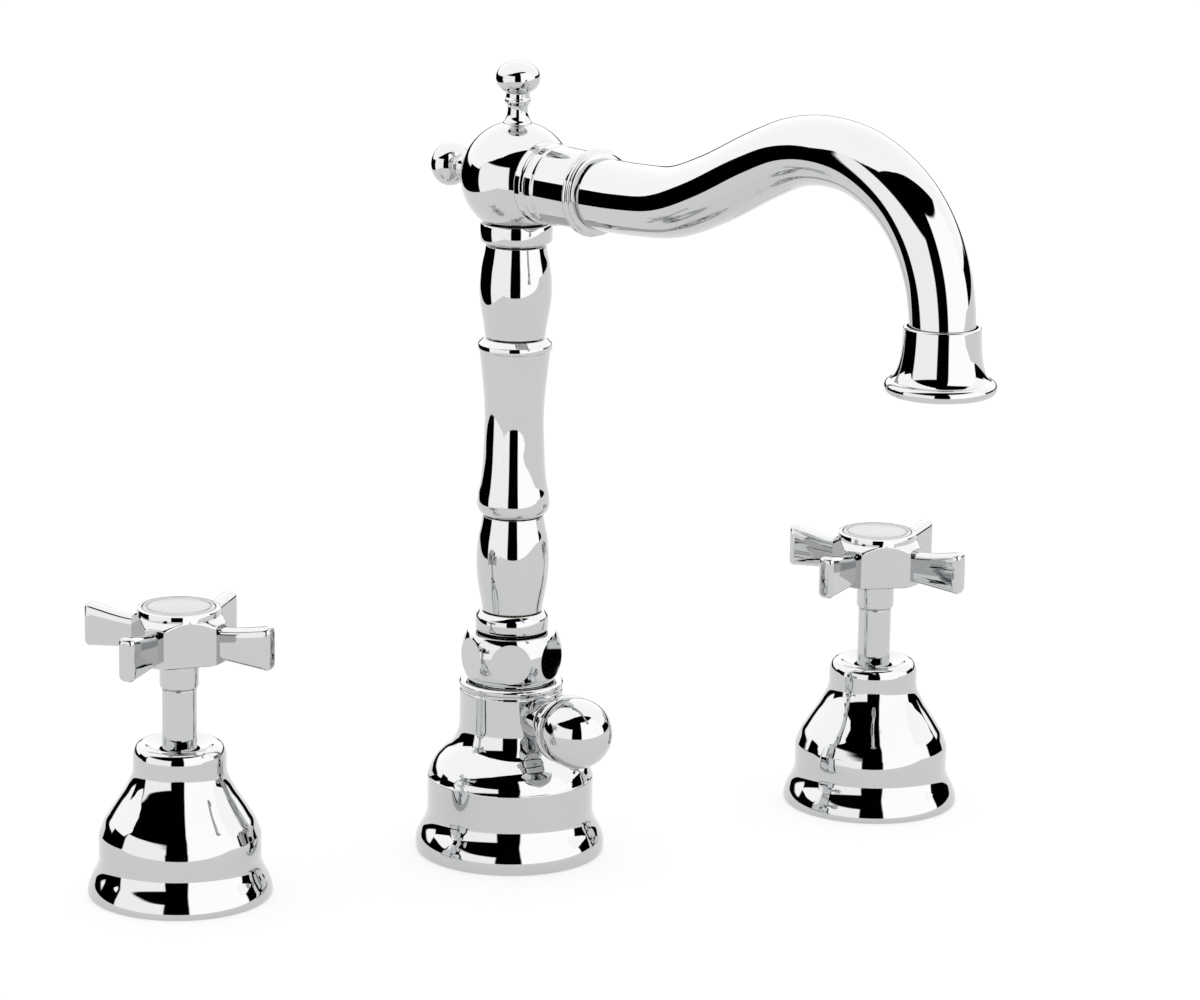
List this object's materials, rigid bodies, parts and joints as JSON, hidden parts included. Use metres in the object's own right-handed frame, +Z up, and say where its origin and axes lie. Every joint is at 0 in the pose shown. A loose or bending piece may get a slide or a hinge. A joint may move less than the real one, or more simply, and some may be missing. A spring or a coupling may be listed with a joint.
{
  "type": "basin mixer tap",
  "caption": "Deck-mounted basin mixer with cross-handle side valves, a turned column, a swivel S-shaped spout and a ball knob that works the pop-up waste.",
  "frame": {"origin": "middle of the spout stand on the top of the deck", "axes": "+X towards the cold valve, -Y towards the person at the basin, +Z up"},
  "size_m": [0.2475, 0.1826, 0.2796],
  "materials": {
    "chrome": "mirror-bright chrome plate",
    "brass": "machined, unplated",
    "stainless_steel": "pressed and turned",
    "ceramic": "lapped",
    "enamel": "glossy white porcelain",
    "rubber": "matt black",
    "nylon": "moulded, natural"
  },
  "bodies": {
    "stand": {"hot_bell": "chrome", "hot_valve_body": "brass", "hot_headwork": "brass", "hot_fixed_disc": "ceramic", "hot_rubber_washer": "rubber", "hot_steel_washer": "stainless_steel", "hot_backnut": "brass", "cold_bell": "chrome", "cold_valve_body": "brass", "cold_headwork": "brass", "cold_fixed_disc": "ceramic", "cold_rubber_washer": "rubber", "cold_steel_washer": "stainless_steel", "cold_backnut": "brass", "spout_base": "chrome", "swivel_nut": "chrome", "swivel_post": "brass", "friction_ring": "nylon", "water_riser": "brass", "spout_shank": "brass", "base_seal": "rubber", "spout_rubber_washer": "rubber", "spout_steel_washer": "stainless_steel", "spout_backnut": "brass", "mixing_tee": "brass", "knob_gland": "chrome", "post_seal_1": "rubber", "post_seal_2": "rubber"},
    "hot_handle": {"hot_moving_disc": "ceramic", "hot_spindle": "brass", "hot_spindle_seal": "rubber", "hot_stem_sleeve": "chrome", "hot_cross_handle": "chrome", "hot_handle_screw": "stainless_steel", "hot_index_cap": "enamel"},
    "cold_handle": {"cold_moving_disc": "ceramic", "cold_spindle": "brass", "cold_spindle_seal": "rubber", "cold_stem_sleeve": "chrome", "cold_cross_handle": "chrome", "cold_handle_screw": "stainless_steel", "cold_index_cap": "enamel"},
    "spout": {"column_foot": "chrome", "lower_baluster": "chrome", "waisted_column": "chrome", "upper_baluster": "chrome", "top_collar": "chrome", "column_tube": "nylon", "hub_ball": "chrome", "top_finial": "chrome", "back_finial": "chrome", "spout_union": "chrome", "spout_flange_ring": "chrome", "spout_tube": "chrome", "outlet_bell": "chrome", "aerator": "chrome", "aerator_seal": "rubber"},
    "waste_knob": {"waste_knob": "chrome", "knob_spindle": "brass"},
    "waste_rod": {"pull_rod": "brass"}
  },
  "joints": [
    {"name": "spout_swivel", "type": "hinge", "parent": "stand", "child": "spout", "pos_m": [0, 0, 0.05], "axis": [0, 0, 1], "range_deg": [-77, 43]},
    {"name": "hot_handle_turn", "type": "hinge", "parent": "stand", "child": "hot_handle", "pos_m": [-0.092, 0, 0.067], "axis": [0, 0, 1], "range_deg": [0, 90]},
    {"name": "cold_handle_turn", "type": "hinge", "parent": "stand", "child": "cold_handle", "pos_m": [0.108, 0, 0.067], "axis": [0, 0, 1], "range_deg": [-90, 0]},
    {"name": "waste_knob_turn", "type": "hinge", "parent": "stand", "child": "waste_knob", "pos_m": [0.00429, -0.0305, 0.039], "axis": [-0.1392, 0.9903, 0], "range_deg": [0, 70]},
    {"name": "pull_rod_slide", "type": "slide", "parent": "stand", "child": "waste_rod", "axis": [0, 0, 1], "range_m": [0, 0.00574]}
  ],
  "couplings": [
    {"joint": "waste_knob_turn", "follows": "pull_rod_slide", "rad_per_m": 213}
  ]
}
